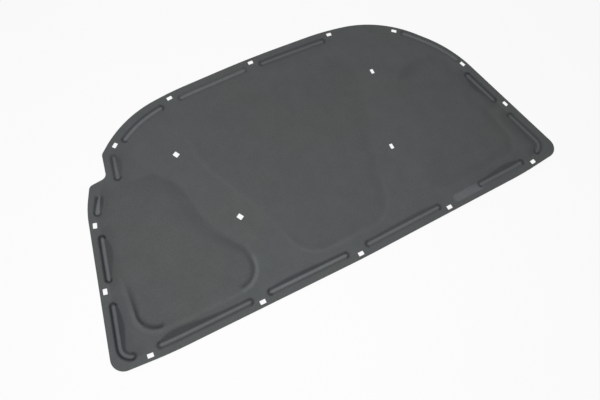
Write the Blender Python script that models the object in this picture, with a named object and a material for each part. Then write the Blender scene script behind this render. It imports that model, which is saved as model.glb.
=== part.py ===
"""Hood insulation pad: one sheet of dark fibre felt, hot pressed in a mould.

The pad lies as it would on a table, with the face that looks at the engine upwards. X runs across the car, Y runs
from the straight rear edge to the rounded front edge, and Z is up, with the lowest faces at zero. The sheet is
pressed thin along its rim and across the braces, it stays thick in three fields that stand out above and below, and
it is pressed down into grooves that follow the rim. Each groove shows underneath as a rib. The pad rests on its
fields and ribs. Eighteen holes take the clips that hold it to the hood.

All sizes are in metres.
"""

import math

import bmesh
import bpy
from mathutils import Vector

# Overall size
PAD_WIDTH = 1.300
PAD_DEPTH = 0.652

# Heights above the surface that the pad lies on. The rim and the braces are one level sheet.
RIM_UNDERSIDE = 0.0030
RIM_TOP = 0.0050
FIELD_TOP = 0.0090
GROOVE_FLOOR = 0.0015

# How far the upper edge of the sheet is eased
RIM_EDGE_ROUND = 0.0007

# Thick fields: the run of the slope at their edges
FIELD_SLOPE = 0.016

# Grooves: distance of their centre line from the edge, half their width at the floor and at the mouth
GROOVE_INSET = 0.028
EDGE_GROOVE_INSET = 0.0155
GROOVE_FLOOR_HALF = 0.0045
GROOVE_MOUTH_HALF = 0.0115
GROOVE_WALL = 0.0020
GROOVE_BEND_RADIUS = 0.026
GROOVE_NARROW_EASE = 0.003
GROOVE_WIDE_EASE = 0.014

# Clip holes: their size, and the distance of the rim's holes from the edge
CLIP_HOLE_LONG = 0.0150
CLIP_HOLE_SHORT = 0.0105
INNER_HOLE_SHORT = 0.0130
CLIP_INSET = 0.0130

# Corners of the rounded outline, for its right half from the rear centre to the front centre: share of half the
# width, share of half the depth, and the share of the shorter of its two sides that the corner's round takes
REAR_CENTRE = (0.000, -1.000, 0.0805)
REAR_BEND = (0.797, -0.978, 0.2818)
REAR_CORNER = (1.0115, -0.940, 0.2672)
SIDE_BEND = (0.8616, 0.334, 0.3464)
BROW = (0.638, 0.8805, 0.6506)
FRONT_BEND = (0.364, 0.978, 0.3238)
FRONT_CENTRE = (0.000, 1.000, 0.3859)

# The notch in the left side, whose corners stand in for the front bend, the brow and the side bend there
NOTCH_FRONT_BEND = (0.364, 0.978, 0.2586)
NOTCH_BROW = (0.592, 0.920, 0.7994)
NOTCH_LIP = (0.729, 0.681, 0.0750)
NOTCH_PIT = (0.750, 0.482, 0.2478)
NOTCH_HEEL = (0.822, 0.467, 0.1640)
NOTCH_SIDE = (0.868, 0.282, 0.4432)

# Places along the rim, as shares of the half perimeter from the rear centre to the front centre
CLIP_PAIRS = (0.1670, 0.3405, 0.4890, 0.5917, 0.7284, 0.8488)

# Grooves: first and last share along the rim, and how far the inner wall is eased
GROOVE_PAIRS = (
    (0.0190, 0.1540, GROOVE_NARROW_EASE),
    (0.1900, 0.3320, GROOVE_WIDE_EASE),
    (0.3770, 0.4600, GROOVE_NARROW_EASE),
    (0.5020, 0.5670, GROOVE_WIDE_EASE),
    (0.8620, 0.9820, GROOVE_NARROW_EASE),
)
LEFT_GROOVES = ((0.6110, 0.6380, GROOVE_NARROW_EASE), (0.7420, 0.8230, GROOVE_NARROW_EASE))
RIGHT_EDGE_GROOVES = ((0.6050, 0.7110, GROOVE_NARROW_EASE),)

# The groove beside the notch, as shares of the way from the notch's lip to its pit
NOTCH_GROOVE = (0.10, 0.55, 1.08)

# Thick fields: share of half the width, share of half the depth, and the radius that rounds the corner. The outer
# one is on both sides, and the middle one is mirrored.
OUTER_FIELD = (
    (0.385, -0.810, 0.055),
    (0.855, -0.780, 0.050),
    (0.800, 0.375, 0.060),
    (0.575, 0.375, 0.050),
    (0.512, 0.180, 0.120),
    (0.485, -0.230, 0.090),
    (0.392, -0.530, 0.040),
)
MIDDLE_FIELD_HALF = (
    (0.190, -0.800, 0.080),
    (0.250, -0.370, 0.250),
    (0.388, 0.276, 0.250),
    (0.400, 0.760, 0.050),
)

# Clip holes inside the rim, on the braces: shares of half the width and half the depth, and their turn in degrees
INNER_CLIPS = ((0.466, 0.432), (0.353, -0.271))
INNER_CLIP_TURN = 35.0

# How the shoulder of a thick field climbs: share of its height, share of its run. Its lower face starts further in.
FIELD_SHOULDER = ((0.45, 0.35), (0.85, 0.70), (1.00, 1.00))
FIELD_SOLE_SHARE = 0.60

# A groove's inner ease is widest past its middle; the fineness of arcs and round ends; the reach of a cutter
EASE_SKEW = 1.6
ARC_STEP = math.radians(7.5)
END_STEPS = 6
OVERRUN = 0.004


def corner(shares, side=1.0):
    """Returns (place, rounding) of a corner whose place is given in shares, mirrored to the left where side is -1."""
    across, along, rounding = shares
    return Vector((side * across * PAD_WIDTH / 2, along * PAD_DEPTH / 2)), rounding


def left_hand(direction):
    """Returns the unit vector a quarter turn to the left of a direction in plan."""
    return Vector((-direction.y, direction.x)).normalized()


def rounded(corners):
    """Returns the closed loop of points of a polygon whose corners, given as (place, radius), are rounded by arcs."""
    points = []
    for index, (place, radius) in enumerate(corners):
        before = (corners[index - 1][0] - place).normalized()
        after = (corners[(index + 1) % len(corners)][0] - place).normalized()
        half_angle = before.angle(after) / 2
        turn = math.pi - 2 * half_angle
        centre = place + (before + after).normalized() * (radius / math.sin(half_angle))
        first = place + before * (radius / math.tan(half_angle)) - centre
        steps = max(1, math.ceil(turn / ARC_STEP - 0.01))
        sense = 1 if before.x * after.y - before.y * after.x < 0 else -1
        for step in range(steps + 1):
            angle = sense * turn * step / steps
            spun = Vector(
                (
                    first.x * math.cos(angle) - first.y * math.sin(angle),
                    first.x * math.sin(angle) + first.y * math.cos(angle),
                )
            )
            points.append(centre + spun)
    return points


def inset(corners, distance, least_radius=0.010):
    """Returns the corners moved inwards by a distance, with their radii changed to keep the border parallel."""
    moved = []
    for index, (place, radius) in enumerate(corners):
        along = (place - corners[index - 1][0]).normalized()
        onward = (corners[(index + 1) % len(corners)][0] - place).normalized()
        convex = along.x * onward.y - along.y * onward.x > 0
        bisector = (left_hand(along) + left_hand(onward)).normalized()
        reach = distance / bisector.dot(left_hand(along))
        changed = radius - distance if convex else radius + distance
        moved.append((place + bisector * reach, max(changed, least_radius)))
    return moved


def fitted(corners):
    """Returns the corners with each round's share of its shorter side turned into the radius that takes it."""
    found = []
    for index, (place, share) in enumerate(corners):
        before = corners[index - 1][0] - place
        after = corners[(index + 1) % len(corners)][0] - place
        cut = share * min(before.length, after.length)
        found.append((place, cut * math.tan(before.angle(after) / 2)))
    return found


def stretched(corners):
    """Returns the corners scaled and moved so that the rounded outline has exactly the pad's width and depth."""
    points = rounded(fitted(corners))
    low = Vector((min(point.x for point in points), min(point.y for point in points)))
    high = Vector((max(point.x for point in points), max(point.y for point in points)))
    across = PAD_WIDTH / (high.x - low.x)
    along = PAD_DEPTH / (high.y - low.y)
    middle = (low + high) / 2
    scaled = [
        (Vector(((place.x - middle.x) * across, (place.y - middle.y) * along)), share)
        for place, share in corners
    ]
    return fitted(scaled)


RIGHT_HALF = (REAR_BEND, REAR_CORNER, SIDE_BEND, BROW, FRONT_BEND)
LEFT_HALF = (NOTCH_FRONT_BEND, NOTCH_BROW, NOTCH_LIP, NOTCH_PIT, NOTCH_HEEL, NOTCH_SIDE, REAR_CORNER, REAR_BEND)
NOTCH_LIP_INDEX = 1 + len(RIGHT_HALF) + 1 + LEFT_HALF.index(NOTCH_LIP)


def pad_corners():
    """Returns the corners of the whole outline, with the notch, counter-clockwise from the rear centre."""
    right = [corner(shares) for shares in RIGHT_HALF]
    left = [corner(shares, -1.0) for shares in LEFT_HALF]
    return stretched([corner(REAR_CENTRE), *right, corner(FRONT_CENTRE), *left])


def even_corners():
    """Returns the corners of the outline as if it had no notch, which places what follows the rim."""
    right = [corner(shares) for shares in RIGHT_HALF]
    left = [corner(shares, -1.0) for shares in reversed(RIGHT_HALF)]
    return stretched([corner(REAR_CENTRE), *right, corner(FRONT_CENTRE), *left])


def rim_half(distance):
    """Returns the right half of a line parallel to the even outline, from the rear centre to the front centre."""
    bend = GROOVE_BEND_RADIUS
    loop = rounded(inset(even_corners(), distance, bend))
    half = [point for point in loop if point.x > 1e-6]
    half.sort(key=lambda point: math.atan2(point.y, point.x))
    start = Vector((0.0, half[0].y))
    end = Vector((0.0, half[-1].y))
    return [start, *half, end]


def run_along(line, first, last):
    """Returns the part of a line between two shares of its length, with the line's own points between them."""
    lengths = [0.0]
    for before, after in zip(line, line[1:]):
        lengths.append(lengths[-1] + (after - before).length)
    marks = sorted({first * lengths[-1], last * lengths[-1]})
    cut = []
    for mark in marks:
        index = next(i for i in range(1, len(lengths)) if lengths[i] >= mark)
        share = (mark - lengths[index - 1]) / (lengths[index] - lengths[index - 1])
        cut.append((mark, line[index - 1].lerp(line[index], share)))
    inner = [
        (length, point)
        for length, point in zip(lengths, line)
        if marks[0] + 0.004 < length < marks[-1] - 0.004
    ]
    return [point for _, point in sorted([*cut, *inner], key=lambda pair: pair[0])]


def mirrored(points):
    """Returns a path on the other side of the pad, running the opposite way so that its left stays inwards."""
    return [Vector((-point.x, point.y)) for point in reversed(points)]


def tangents(path):
    """Returns the direction at each point of an open path."""
    found = []
    for index in range(len(path)):
        before = path[max(index - 1, 0)]
        after = path[min(index + 1, len(path) - 1)]
        found.append((after - before).normalized())
    return found


def slot_ring(path, eases, outer, inner, ease_share):
    """Returns the border of a slot along a path: its outer half width, its inner one, and the share of the ease."""
    along = tangents(path)
    across = [left_hand(direction) for direction in along]
    ring = [point - side * outer for point, side in zip(path, across)]
    ring += slot_end(path[-1], along[-1], outer, inner)
    far_side = [
        point + side * (inner + ease * ease_share)
        for point, side, ease in zip(path, across, eases)
    ]
    ring += reversed(far_side)
    ring += slot_end(path[0], -along[0], inner, outer)
    return ring


def slot_end(place, onward, first_half, last_half):
    """Returns the points of a slot's round end, without the two where it meets the slot's sides."""
    side = left_hand(onward)
    reach = min(first_half, last_half)
    points = []
    for step in range(1, END_STEPS):
        angle = math.pi * step / END_STEPS
        half = first_half if angle < math.pi / 2 else last_half
        points.append(place + onward * reach * math.sin(angle) - side * half * math.cos(angle))
    return points


def loft(mesh, rings):
    """Adds a closed solid to a bmesh, from rings of equally many points, each given as (height, points)."""
    layers = [[mesh.verts.new((point.x, point.y, height)) for point in points] for height, points in rings]
    for lower, upper in zip(layers, layers[1:]):
        for index in range(len(lower)):
            following = (index + 1) % len(lower)
            side = mesh.faces.new((lower[index], lower[following], upper[following], upper[index]))
            side.smooth = True
    mesh.faces.new(list(reversed(layers[0])))
    mesh.faces.new(layers[-1])


def solid(name, fill, helper=True):
    """Returns a new object whose mesh the given function fills. A helper only cuts or joins, so it isn't rendered."""
    mesh = bmesh.new()
    fill(mesh)
    bmesh.ops.recalc_face_normals(mesh, faces=mesh.faces)
    data = bpy.data.meshes.new(name)
    mesh.to_mesh(data)
    mesh.free()
    data.set_sharp_from_angle(angle=math.radians(40.0))
    made = bpy.data.objects.new(name, data)
    bpy.context.scene.collection.objects.link(made)
    if helper:
        made.hide_render = True
        made.display_type = "WIRE"
    return made


def boolean(target, operation, tool):
    """Adds a Boolean modifier to the target."""
    modifier = target.modifiers.new(tool.name, "BOOLEAN")
    modifier.operation = operation
    modifier.solver = "EXACT"
    modifier.object = tool


def eased(path, most):
    """Returns how far the inner wall of a groove is eased at each point of its path: most past its middle."""
    last = len(path) - 1
    return [most * math.sin(math.pi * (index / last) ** EASE_SKEW) for index in range(len(path))]


def grooves_in_plan():
    """Returns each groove as (path, eases), its centre line with the pad's middle to its left."""
    line = rim_half(GROOVE_INSET)
    found = []
    for first, last, most in GROOVE_PAIRS:
        path = run_along(line, first, last)
        eases = eased(path, most)
        found.append((path, eases))
        found.append((mirrored(path), list(reversed(eases))))
    for first, last, most in LEFT_GROOVES:
        path = run_along(line, first, last)
        found.append((mirrored(path), list(reversed(eased(path, most)))))
    for first, last, most in RIGHT_EDGE_GROOVES:
        path = run_along(rim_half(EDGE_GROOVE_INSET), first, last)
        found.append((path, eased(path, most)))
    wall = inset(pad_corners(), GROOVE_INSET)
    lip = wall[NOTCH_LIP_INDEX][0]
    pit = wall[NOTCH_LIP_INDEX + 1][0]
    path = [lip.lerp(pit, share) for share in NOTCH_GROOVE]
    found.append((path, eased(path, GROOVE_NARROW_EASE)))
    return found


def groove_solid(mesh, path, eases):
    """Adds the cutter of one groove, from its rounded floor to above the thick fields."""
    floor, mouth = GROOVE_FLOOR_HALF, GROOVE_MOUTH_HALF
    climb = RIM_TOP - GROOVE_FLOOR
    spread = mouth - floor
    above = FIELD_TOP - RIM_TOP + 0.5 * OVERRUN
    rings = [
        (GROOVE_FLOOR, slot_ring(path, eases, 0.55 * floor, 0.55 * floor, 0.0)),
        (GROOVE_FLOOR + 0.12 * climb, slot_ring(path, eases, floor, floor, 0.0)),
        (GROOVE_FLOOR + 0.55 * climb, slot_ring(path, eases, floor + 0.45 * spread, floor + 0.5 * spread, 0.4)),
        (GROOVE_FLOOR + 0.92 * climb, slot_ring(path, eases, floor + 0.9 * spread, mouth, 0.95)),
        (RIM_TOP + above, slot_ring(path, eases, mouth + 0.2 * above, mouth + 1.3 * above, 1.3)),
    ]
    loft(mesh, rings)


def rib_solid(mesh, path, eases):
    """Adds the rib that stands out underneath one groove, a wall's thickness outside the groove."""
    low = 0.55 * GROOVE_FLOOR_HALF + GROOVE_WALL
    slope = (GROOVE_MOUTH_HALF - GROOVE_FLOOR_HALF) / (RIM_TOP - GROOVE_FLOOR)
    inside = RIM_UNDERSIDE + 0.3 * (RIM_TOP - RIM_UNDERSIDE)
    bend = 0.3 * RIM_UNDERSIDE
    rings = [
        (0.0, slot_ring(path, eases, low, low, 0.1)),
        (bend, slot_ring(path, eases, low + 1.4 * slope * bend, low + 1.4 * slope * bend, 0.3)),
        (inside, slot_ring(path, eases, low + slope * inside, low + slope * inside, 0.8)),
    ]
    loft(mesh, rings)


def fill_sheet(mesh):
    """The thin pressed sheet over the whole outline, with its upper edge eased."""
    corners = pad_corners()
    rings = [
        (RIM_UNDERSIDE, rounded(corners)),
        (RIM_TOP - RIM_EDGE_ROUND, rounded(corners)),
        (RIM_TOP, rounded(inset(corners, RIM_EDGE_ROUND))),
    ]
    loft(mesh, rings)


def fill_ribs(mesh):
    """All the ribs under the grooves."""
    for path, eases in grooves_in_plan():
        rib_solid(mesh, path, eases)


def fill_fields(mesh):
    """The three thick fields, each a low plateau with a soft shoulder above the sheet and below it."""
    right = [corner(shares) for shares in OUTER_FIELD]
    left = [corner(shares, -1.0) for shares in reversed(OUTER_FIELD)]
    middle = [corner(shares) for shares in MIDDLE_FIELD_HALF]
    middle += [corner(shares, -1.0) for shares in reversed(MIDDLE_FIELD_HALF)]
    rise = FIELD_TOP - RIM_TOP
    for border in (right, left, middle):
        sole = rounded(inset(border, FIELD_SOLE_SHARE * FIELD_SLOPE))
        foot = rounded(inset(border, -0.08 * FIELD_SLOPE))
        rings = [(0.0, sole), (RIM_UNDERSIDE + 0.2 * rise, foot), (RIM_TOP - 0.2 * rise, foot)]
        for height_share, run_share in FIELD_SHOULDER:
            points = rounded(inset(border, run_share * FIELD_SLOPE))
            rings.append((RIM_TOP + height_share * rise, points))
        loft(mesh, rings)


def fill_grooves(mesh):
    """All the grooves pressed into the upper face."""
    for path, eases in grooves_in_plan():
        groove_solid(mesh, path, eases)


def clip_places():
    """Returns (place, direction of the long side, short size) of every clip hole."""
    line = rim_half(CLIP_INSET)
    ahead = Vector((1.0, 0.0))
    places = [(line[0], ahead, CLIP_HOLE_SHORT), (line[-1], ahead, CLIP_HOLE_SHORT)]
    for share in CLIP_PAIRS:
        run = run_along(line, share - 0.002, share + 0.002)
        place = (run[0] + run[-1]) / 2
        direction = (run[-1] - run[0]).normalized()
        places.append((place, direction, CLIP_HOLE_SHORT))
        places.append((Vector((-place.x, place.y)), Vector((-direction.x, direction.y)), CLIP_HOLE_SHORT))
    angle = math.radians(INNER_CLIP_TURN)
    for shares in INNER_CLIPS:
        for side in (1.0, -1.0):
            place = Vector((side * shares[0] * PAD_WIDTH / 2, shares[1] * PAD_DEPTH / 2))
            direction = Vector((side * math.cos(angle), math.sin(angle)))
            places.append((place, direction, INNER_HOLE_SHORT))
    return places


def fill_clip_holes(mesh):
    """The punched holes, each a rectangle along the edge that runs through the sheet."""
    for place, direction, short in clip_places():
        half_long = direction * CLIP_HOLE_LONG / 2
        half_short = left_hand(direction) * short / 2
        ring = [
            place - half_long - half_short,
            place + half_long - half_short,
            place + half_long + half_short,
            place - half_long + half_short,
        ]
        loft(mesh, [(-OVERRUN, ring), (FIELD_TOP + OVERRUN, ring)])


def felt():
    """Returns the material of the pad: dark grey fibre felt, matt."""
    material = bpy.data.materials.new("dark_felt")
    material.use_nodes = True
    shader = material.node_tree.nodes["Principled BSDF"]
    shader.inputs["Base Color"].default_value = (0.088, 0.094, 0.092, 1.0)
    shader.inputs["Roughness"].default_value = 0.95
    shader.inputs["Metallic"].default_value = 0.0
    return material


def main():
    for old in list(bpy.data.objects):
        bpy.data.objects.remove(old, do_unlink=True)
    pad = solid("insulation_pad", fill_sheet, helper=False)
    fields = solid("thick_fields", fill_fields)
    ribs = solid("groove_ribs", fill_ribs)
    grooves = solid("grooves", fill_grooves)
    clip_holes = solid("clip_holes", fill_clip_holes)
    boolean(pad, "UNION", fields)
    boolean(pad, "UNION", ribs)
    boolean(pad, "DIFFERENCE", grooves)
    boolean(pad, "DIFFERENCE", clip_holes)
    pad.data.materials.append(felt())


main()
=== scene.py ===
"""Looks of a hood insulation pad: one sheet of dark fibre felt, hot pressed in a mould, on a pale table.

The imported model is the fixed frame. The pad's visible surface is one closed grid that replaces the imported
solid: it runs from the middle of the underside out to the cut edge, up the edge, and back over the upper
face to the middle. Its heights are functions of the place in plan: the pressed rim and braces, three thick
fields and the grooves that follow the rim. X runs across the car, Y from the rear edge to the front edge,
and Z is up. Sizes are in metres.
"""

import logging
import math
from dataclasses import dataclass, field
from enum import Enum

import bpy
import numpy as np
from mathutils import Matrix, Vector


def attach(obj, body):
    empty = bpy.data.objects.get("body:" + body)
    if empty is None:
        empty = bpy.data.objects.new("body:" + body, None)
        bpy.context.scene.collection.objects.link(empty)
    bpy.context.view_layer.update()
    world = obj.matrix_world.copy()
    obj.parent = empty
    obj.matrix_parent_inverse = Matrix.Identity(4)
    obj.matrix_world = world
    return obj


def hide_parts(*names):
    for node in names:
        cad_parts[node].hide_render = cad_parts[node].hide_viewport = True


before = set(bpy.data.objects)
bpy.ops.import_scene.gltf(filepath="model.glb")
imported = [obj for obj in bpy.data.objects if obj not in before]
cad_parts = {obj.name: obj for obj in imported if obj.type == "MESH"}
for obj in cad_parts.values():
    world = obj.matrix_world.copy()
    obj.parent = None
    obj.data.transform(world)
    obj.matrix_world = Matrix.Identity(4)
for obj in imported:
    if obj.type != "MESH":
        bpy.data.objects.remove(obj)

LOG = logging.getLogger("hood_pad")
NODE = "insulation_pad"
ON_LINE = 1e-6  # A point nearer to the middle line than this counts as on it.

Triple = tuple[float, float, float]
FieldCorner = tuple[float, float, float, float, float, float]
Maps = tuple[np.ndarray, np.ndarray, np.ndarray]


class Side(Enum):
    """The side of the car that a feature of the pad is on, seen from above with the front edge away."""

    LEFT = -1.0
    RIGHT = 1.0

    def flip(self) -> np.ndarray:
        """Gives what a place on the right is multiplied by to lie on this side."""
        return np.array([self.value, 1.0])


class Ease(Enum):
    """How far the inner wall of a groove spreads inwards at its widest, in metres."""

    NARROW = 0.004
    SOFT = 0.010
    WIDE = 0.014


def linear(colour: str) -> tuple[float, float, float, float]:
    """Turns an sRGB hex colour into linear red, green, blue and alpha.

    Args:
        colour: six hex digits after a hash, such as "#585A59".

    Returns:
        The linear colour: each channel over 12.92 near black, and a 2.4 power above that.
    """
    channels = np.array([int(colour[start : start + 2], 16) for start in (1, 3, 5)]) / 255.0
    curve = np.where(channels <= 0.04045, channels / 12.92, ((channels + 0.055) / 1.055) ** 2.4)
    return (*curve.tolist(), 1.0)


def smooth(share: np.ndarray) -> np.ndarray:
    """Eases a share from 0 to 1: three times its square less twice its cube, held at the ends."""
    held = np.clip(share, 0.0, 1.0)
    return held * held * (3.0 - 2.0 * held)


def unit(vectors: np.ndarray) -> np.ndarray:
    """Gives vectors, one row each, the length of one."""
    return vectors / np.linalg.norm(vectors, axis=1, keepdims=True)


def add_node(tree: bpy.types.NodeTree, kind: str, settings: dict, links: dict) -> bpy.types.Node:
    """Adds a node to a tree, with its settings and links.

    Args:
        tree: the material's or the world's node tree.
        kind: Blender's name for the type of node.
        settings: a property's name and value, or an input's name or number in brackets and its value.
        links: an input's name or number, and the output that feeds it.

    Returns:
        The new node.
    """
    node = tree.nodes.new(kind)
    for name, value in settings.items():
        if isinstance(name, tuple):
            node.inputs[name[0]].default_value = value
        else:
            setattr(node, name, value)
    for name, output in links.items():
        tree.links.new(output, node.inputs[name])
    return node


def new_material(name: str, inputs: dict) -> tuple[bpy.types.Material, bpy.types.Node]:
    """Makes a material.

    Args:
        name: the material's name.
        inputs: the values of its surface shader's own inputs, by name.

    Returns:
        The material and its surface shader.
    """
    material = bpy.data.materials.new(name)
    material.use_nodes = True
    shader = material.node_tree.nodes["Principled BSDF"]
    for socket, value in inputs.items():
        shader.inputs[socket].default_value = value
    return material, shader


def new_object(name: str, data: bpy.types.ID) -> bpy.types.Object:
    """Makes an object of a mesh, a lamp or a camera, and links it into the scene."""
    made = bpy.data.objects.new(name, data)
    bpy.context.scene.collection.objects.link(made)
    return made


def new_mesh(name: str, points: np.ndarray, faces: list[list[int]]) -> bpy.types.Mesh:
    """Makes a mesh of its points, one row each, and of the numbers of each face's points."""
    mesh = bpy.data.meshes.new(name)
    mesh.from_pydata(points.tolist(), [], faces)
    return mesh


def quads(table: np.ndarray) -> list[list[int]]:
    """Joins a grid's points by four-cornered faces: each point, the next, and the two in the row after."""
    corners = [table[:-1, :-1], table[:-1, 1:], table[1:, 1:], table[1:, :-1]]
    return np.stack(corners, axis=-1).reshape(-1, 4).tolist()


def seen_by_eye(tree: bpy.types.NodeTree) -> bpy.types.NodeSocket:
    """Adds the nodes that give one for camera, glossy and transmission rays, and nought for all others."""
    path = add_node(tree, "ShaderNodeLightPath", {}, {})
    seen = path.outputs["Is Camera Ray"]
    for name in ("Is Glossy Ray", "Is Transmission Ray"):
        both = {0: seen, 1: path.outputs[name]}
        seen = add_node(tree, "ShaderNodeMath", {"operation": "MAXIMUM"}, both).outputs["Value"]
    return seen


@dataclass(frozen=True)
class Border:
    """A closed polygon in plan whose corners are rounded by arcs.

    Attributes:
        places: the corners, one row each, counter-clockwise.
        radii: the radius that rounds each corner.
    """

    places: np.ndarray
    radii: np.ndarray

    @staticmethod
    def fitted(places: np.ndarray, shares: np.ndarray) -> "Border":
        """Makes a border whose rounds each take a share of the shorter of the corner's two sides.

        Args:
            places: the corners, one row each, counter-clockwise.
            shares: the share that each corner's round takes.

        Returns:
            The border. A round that takes a length off both sides has that length times the tangent of half
            the corner's angle as its radius.
        """
        before = np.roll(places, 1, axis=0) - places
        after = np.roll(places, -1, axis=0) - places
        sizes = np.stack([np.linalg.norm(before, axis=1), np.linalg.norm(after, axis=1)])
        half = np.arccos(np.clip(np.sum(before * after, axis=1) / sizes.prod(axis=0), -1.0, 1.0)) / 2.0
        return Border(places, shares * sizes.min(axis=0) * np.tan(half))

    def inset(self, distance: float, least: float = 0.010) -> "Border":
        """Moves every side inwards by a distance and changes the radii so that the border stays parallel.

        Args:
            distance: how far each side moves inwards.
            least: the smallest radius that a corner may get.

        Returns:
            The new border: each corner moves along its bisector until both of its sides have moved far
            enough.
        """
        along = unit(self.places - np.roll(self.places, 1, axis=0))
        onward = np.roll(along, -1, axis=0)
        turn = along[:, 0] * onward[:, 1] - along[:, 1] * onward[:, 0]
        left = np.column_stack([-along[:, 1], along[:, 0]])
        bisector = unit(left + np.roll(left, -1, axis=0))
        reach = distance / np.sum(bisector * left, axis=1)
        radii = np.maximum(np.where(turn > 0, self.radii - distance, self.radii + distance), least)
        return Border(self.places + bisector * reach[:, None], radii)

    def loop(self, steps: int = 24) -> np.ndarray:
        """Gives the closed line of the border as points.

        Args:
            steps: how many points each corner's arc has.

        Returns:
            The points. Each arc turns the vector from its centre to its first point by even parts of the
            turn between the two sides that it joins.
        """
        before = unit(np.roll(self.places, 1, axis=0) - self.places)
        after = unit(np.roll(self.places, -1, axis=0) - self.places)
        half = np.arccos(np.clip(np.sum(before * after, axis=1), -1.0, 1.0)) / 2.0
        bisector = unit(before + after)
        centre = self.places + bisector * (self.radii / np.sin(half))[:, None]
        first = self.places + before * (self.radii / np.tan(half))[:, None] - centre
        sense = -np.sign(before[:, 0] * after[:, 1] - before[:, 1] * after[:, 0])
        angle = (sense * (math.pi - 2.0 * half))[:, None] * np.linspace(0.0, 1.0, steps)[None, :]
        across = first[:, None, 0] * np.cos(angle) - first[:, None, 1] * np.sin(angle)
        along = first[:, None, 0] * np.sin(angle) + first[:, None, 1] * np.cos(angle)
        points = np.stack([across, along], axis=-1) + centre[:, None, :]
        return points.reshape(-1, 2)


def lengths_along(line: np.ndarray) -> np.ndarray:
    """Gives the distance from a line's start to each of its points."""
    steps = np.linalg.norm(np.diff(line, axis=0), axis=1)
    return np.concatenate([[0.0], np.cumsum(steps)])


def points_at(line: np.ndarray, marks: np.ndarray) -> np.ndarray:
    """Gives the points of a line at some distances from its start."""
    lengths = lengths_along(line)
    return np.column_stack([np.interp(marks, lengths, line[:, axis]) for axis in (0, 1)])


def nearest(points: np.ndarray, line: np.ndarray) -> Maps:
    """Finds the nearest place on a line for every point.

    Args:
        points: the points in plan, one row each.
        line: the line's points, one row each. A closed line ends with its first point.

    Returns:
        The distance, which is positive to the left of the line and negative to its right, the share of the
        way along the line, and the same distance without a sign. A point's foot on a segment is its
        projection, held between the segment's ends, and the shortest of all segments is kept.
    """
    lengths = lengths_along(line)
    least = np.full(len(points), np.inf)
    side = np.ones(len(points))
    share = np.zeros(len(points))
    for index in range(len(line) - 1):
        start, reach = line[index], line[index + 1] - line[index]
        size = float(reach @ reach)
        if size <= 0.0:
            continue
        offset = points - start
        foot = np.clip(offset @ reach / size, 0.0, 1.0)
        gap = offset - foot[:, None] * reach
        distance = np.hypot(gap[:, 0], gap[:, 1])
        closer = distance < least
        least = np.where(closer, distance, least)
        turned = reach[0] * offset[:, 1] - reach[1] * offset[:, 0]
        side = np.where(closer, np.where(turned >= 0.0, 1.0, -1.0), side)
        place = lengths[index] + foot * math.sqrt(size)
        share = np.where(closer, place / lengths[-1], share)
    return least * side, share, least


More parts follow.
